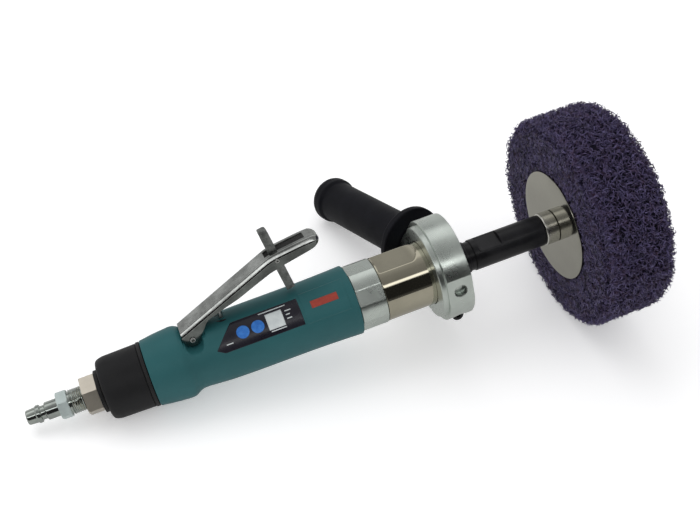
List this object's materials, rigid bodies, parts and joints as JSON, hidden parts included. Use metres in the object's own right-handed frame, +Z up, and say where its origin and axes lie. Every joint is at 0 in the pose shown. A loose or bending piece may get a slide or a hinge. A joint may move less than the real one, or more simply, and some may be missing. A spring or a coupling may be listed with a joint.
{
  "type": "die grinder",
  "caption": "Straight air die grinder with a throttle lever, side handle, geared spindle and a wide soft abrasive wheel.",
  "frame": {"origin": "centre of the drive spindle's flat front end face", "axes": "+X along the spindle, out of its front end; +Z up through the throttle lever; +Y towards the side handle"},
  "size_m": [0.444, 0.2262, 0.155],
  "materials": {
    "body_composite": "satin moulded blue-green composite",
    "cap_plastic": "matt black moulding",
    "black_rubber": "matt",
    "nickel_plate": "warm satin nickel plate",
    "zinc_plate": "bright zinc plate",
    "bright_alloy": "turned, satin",
    "bright_chrome": "bright chrome plate",
    "polished_steel": "mirror-polished stainless",
    "black_oxide": "oiled black oxide on steel",
    "tool_steel": "ground",
    "brass": "machined",
    "felt": "open felt",
    "phenolic": "cloth-filled phenolic",
    "fibre_web": "open non-woven abrasive web"
  },
  "bodies": {
    "tool_body": {"motor_housing": "body_composite", "exhaust_cap": "cap_plastic", "cap_gasket": "black_rubber", "muffler_felt": "felt", "inlet_bushing": "nickel_plate", "inlet_washer": "black_rubber", "plug_nipple": "zinc_plate", "clamp_nut": "bright_alloy", "gear_housing": "nickel_plate", "gear_cover_plate": "tool_steel", "ring_gear": "tool_steel", "spindle_bearing_rear": "tool_steel", "bearing_spacer": "tool_steel", "spindle_bearing_front": "tool_steel", "nose_retainer": "black_oxide", "motor_cylinder": "tool_steel", "front_end_plate": "tool_steel", "rear_end_plate": "tool_steel", "front_rotor_bearing": "tool_steel", "rear_rotor_bearing": "tool_steel", "handle_ring": "bright_alloy", "ring_screw": "black_oxide", "handle_stud": "zinc_plate", "side_handle": "black_rubber", "lever_pivot_pin": "tool_steel", "valve_guide": "tool_steel", "valve_seat": "brass", "valve_spring": "tool_steel"},
    "spindle": {"drive_spindle": "black_oxide", "planet_pin_1": "tool_steel", "planet_pin_2": "tool_steel", "planet_pin_3": "tool_steel", "shaft_collar": "nickel_plate", "rear_flange": "polished_steel", "grinding_wheel": "fibre_web", "wheel_bushing": "cap_plastic", "front_flange": "polished_steel", "lock_washer": "tool_steel", "spindle_nut": "zinc_plate"},
    "rotor": {"motor_rotor": "tool_steel", "rotor_vane_1": "phenolic", "rotor_vane_2": "phenolic", "rotor_vane_3": "phenolic", "rotor_vane_4": "phenolic", "rotor_vane_5": "phenolic", "sun_pinion": "tool_steel"},
    "planet_1": {"planet_gear_1": "tool_steel"},
    "planet_2": {"planet_gear_2": "tool_steel"},
    "planet_3": {"planet_gear_3": "tool_steel"},
    "lever": {"throttle_lever": "bright_chrome", "lock_pin": "tool_steel", "lock_spring": "tool_steel"},
    "lock": {"lock_lever": "black_oxide"},
    "valve": {"valve_stem": "tool_steel"}
  },
  "joints": [
    {"name": "spindle_spin", "type": "hinge", "parent": "tool_body", "child": "spindle", "pos_m": [0, 0, 0], "axis": [1, 0, 0], "continuous": true},
    {"name": "rotor_spin", "type": "hinge", "parent": "tool_body", "child": "rotor", "pos_m": [-0.267, 0, 0], "axis": [1, 0, 0], "continuous": true},
    {"name": "planet_1_spin", "type": "hinge", "parent": "spindle", "child": "planet_1", "pos_m": [-0.193, 0.00945, 0], "axis": [1, 0, 0], "continuous": true},
    {"name": "planet_2_spin", "type": "hinge", "parent": "spindle", "child": "planet_2", "pos_m": [-0.193, -0.00473, 0.00818], "axis": [1, 0, 0], "continuous": true},
    {"name": "planet_3_spin", "type": "hinge", "parent": "spindle", "child": "planet_3", "pos_m": [-0.193, -0.00473, -0.00818], "axis": [1, 0, 0], "continuous": true},
    {"name": "lever_press", "type": "hinge", "parent": "tool_body", "child": "lever", "pos_m": [-0.329, 0, 0.0188], "axis": [0, 1, 0], "range_deg": [0, 9.5], "stiffness_Nm_per_rad": 1.6, "springref_deg": -20.05},
    {"name": "lock_swing", "type": "hinge", "parent": "lever", "child": "lock", "pos_m": [-0.2624, 0, 0.0537], "axis": [0, 1, 0], "range_deg": [0, 76]},
    {"name": "valve_stroke", "type": "slide", "parent": "tool_body", "child": "valve", "axis": [0, 0, -1], "range_m": [0, 0.0047], "deforming": ["valve_spring"]}
  ],
  "couplings": [
    {"joint": "rotor_spin", "follows": "spindle_spin", "ratio": 4.5},
    {"joint": "planet_1_spin", "follows": "spindle_spin", "ratio": -2.8},
    {"joint": "planet_2_spin", "follows": "spindle_spin", "ratio": -2.8},
    {"joint": "planet_3_spin", "follows": "spindle_spin", "ratio": -2.8},
    {"joint": "lock_swing", "follows": "lever_press", "ratio": 8},
    {"joint": "valve_stroke", "follows": "lever_press", "m_per_rad": 0.028}
  ]
}
